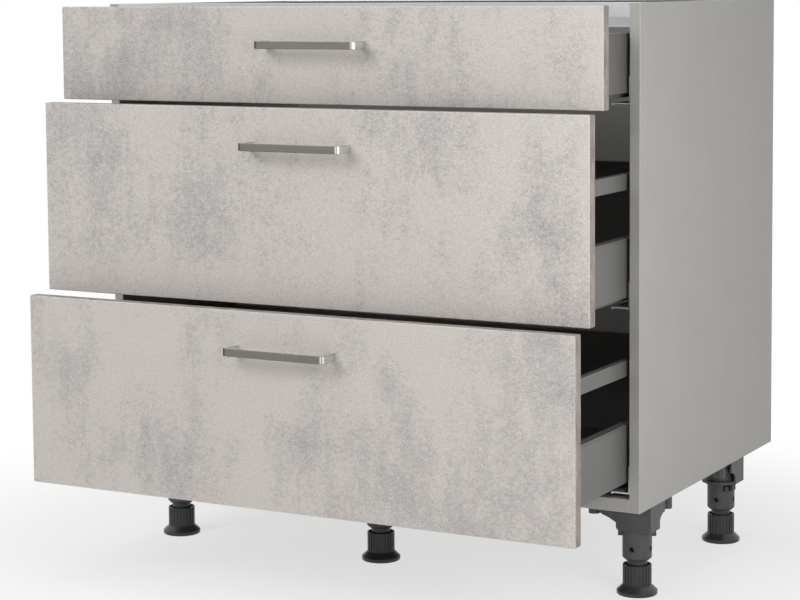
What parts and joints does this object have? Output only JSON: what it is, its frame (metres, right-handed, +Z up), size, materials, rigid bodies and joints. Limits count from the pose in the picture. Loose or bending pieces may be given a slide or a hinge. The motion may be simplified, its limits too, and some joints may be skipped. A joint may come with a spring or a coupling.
{
  "type": "base cabinet with drawers",
  "caption": "Floor-standing kitchen base cabinet with a shallow drawer over deep drawers with railings, bow handles, full-extension runners and height-adjustable legs; open top for a worktop.",
  "frame": {"origin": "on the floor, midway between the side boards, below the plane of their front edges", "axes": "+X to the right seen from the front, +Y back into the cabinet, +Z up; the drawers open along -Y"},
  "size_m": [0.9, 0.813, 0.866],
  "materials": {
    "carcass_board": "melamine-faced board, smooth grey",
    "back_board": "thin fibreboard, lacquered grey",
    "front_board": "melamine-faced board, light concrete decor",
    "drawer_board": "melamine-faced board, anthracite",
    "drawer_steel": "powder coat, satin grey",
    "runner_steel": "zinc-plated",
    "rail_steel": "zinc-plated sheet",
    "fitting_steel": "zinc die casting",
    "screw_steel": "zinc-plated",
    "handle_nickel": "brushed nickel, satin",
    "beech": "raw beech",
    "leg_plastic": "moulded, satin anthracite"
  },
  "bodies": {
    "carcass": {"side_panel_right": "carcass_board", "side_panel_left": "carcass_board", "bottom_panel": "carcass_board", "back_panel": "back_board", "front_rail": "rail_steel", "rear_rail": "rail_steel", "dowels": "beech", "cam_fittings": "fitting_steel", "rail_screws": "screw_steel", "runner_screws": "screw_steel", "leg_screws": "screw_steel", "leg_bracket_front_left": "leg_plastic", "leg_bracket_front_right": "leg_plastic", "leg_bracket_rear_left": "leg_plastic", "leg_bracket_rear_right": "leg_plastic", "leg_brackets_middle": "leg_plastic", "leg_sleeves": "leg_plastic", "runner_cabinet_top": "runner_steel", "runner_cabinet_middle": "runner_steel", "runner_cabinet_bottom": "runner_steel"},
    "drawer_top": {"front_top": "front_board", "handle_top": "handle_nickel", "handle_screws_top": "screw_steel", "drawer_side_right_top": "drawer_steel", "drawer_side_left_top": "drawer_steel", "drawer_base_top": "drawer_board", "rear_wall_top": "drawer_board", "front_brackets_top": "fitting_steel", "runner_drawer_top": "runner_steel"},
    "runners_top": {"runner_middle_top": "runner_steel"},
    "drawer_middle": {"front_middle": "front_board", "handle_middle": "handle_nickel", "handle_screws_middle": "screw_steel", "drawer_side_right_middle": "drawer_steel", "drawer_side_left_middle": "drawer_steel", "drawer_base_middle": "drawer_board", "rear_wall_middle": "drawer_board", "front_brackets_middle": "fitting_steel", "railing_right_middle": "drawer_steel", "railing_left_middle": "drawer_steel", "runner_drawer_middle": "runner_steel"},
    "runners_middle": {"runner_middle_middle": "runner_steel"},
    "drawer_bottom": {"front_bottom": "front_board", "handle_bottom": "handle_nickel", "handle_screws_bottom": "screw_steel", "drawer_side_right_bottom": "drawer_steel", "drawer_side_left_bottom": "drawer_steel", "drawer_base_bottom": "drawer_board", "rear_wall_bottom": "drawer_board", "front_brackets_bottom": "fitting_steel", "railing_right_bottom": "drawer_steel", "railing_left_bottom": "drawer_steel", "runner_drawer_bottom": "runner_steel"},
    "runners_bottom": {"runner_middle_bottom": "runner_steel"},
    "foot_front_left": {"foot_front_left": "leg_plastic"},
    "foot_front_middle": {"foot_front_middle": "leg_plastic"},
    "foot_front_right": {"foot_front_right": "leg_plastic"},
    "foot_rear_left": {"foot_rear_left": "leg_plastic"},
    "foot_rear_middle": {"foot_rear_middle": "leg_plastic"},
    "foot_rear_right": {"foot_rear_right": "leg_plastic"}
  },
  "joints": [
    {"name": "drawer_top_slide", "type": "slide", "parent": "carcass", "child": "drawer_top", "axis": [0, -1, 0], "range_m": [-0.104, 0.376]},
    {"name": "runners_top_slide", "type": "slide", "parent": "carcass", "child": "runners_top", "axis": [0, -1, 0], "range_m": [-0.052, 0.188]},
    {"name": "drawer_middle_slide", "type": "slide", "parent": "carcass", "child": "drawer_middle", "axis": [0, -1, 0], "range_m": [-0.15, 0.33]},
    {"name": "runners_middle_slide", "type": "slide", "parent": "carcass", "child": "runners_middle", "axis": [0, -1, 0], "range_m": [-0.075, 0.165]},
    {"name": "drawer_bottom_slide", "type": "slide", "parent": "carcass", "child": "drawer_bottom", "axis": [0, -1, 0], "range_m": [-0.197, 0.283]},
    {"name": "runners_bottom_slide", "type": "slide", "parent": "carcass", "child": "runners_bottom", "axis": [0, -1, 0], "range_m": [-0.0985, 0.1415]},
    {"name": "foot_front_left_height", "type": "slide", "parent": "carcass", "child": "foot_front_left", "axis": [0, 0, -1], "range_m": [-0.006, 0.02]},
    {"name": "foot_front_middle_height", "type": "slide", "parent": "carcass", "child": "foot_front_middle", "axis": [0, 0, -1], "range_m": [-0.006, 0.02]},
    {"name": "foot_front_right_height", "type": "slide", "parent": "carcass", "child": "foot_front_right", "axis": [0, 0, -1], "range_m": [-0.006, 0.02]},
    {"name": "foot_rear_left_height", "type": "slide", "parent": "carcass", "child": "foot_rear_left", "axis": [0, 0, -1], "range_m": [-0.006, 0.02]},
    {"name": "foot_rear_middle_height", "type": "slide", "parent": "carcass", "child": "foot_rear_middle", "axis": [0, 0, -1], "range_m": [-0.006, 0.02]},
    {"name": "foot_rear_right_height", "type": "slide", "parent": "carcass", "child": "foot_rear_right", "axis": [0, 0, -1], "range_m": [-0.006, 0.02]}
  ],
  "couplings": [
    {"joint": "runners_top_slide", "follows": "drawer_top_slide", "ratio": 0.5},
    {"joint": "runners_middle_slide", "follows": "drawer_middle_slide", "ratio": 0.5},
    {"joint": "runners_bottom_slide", "follows": "drawer_bottom_slide", "ratio": 0.5}
  ]
}
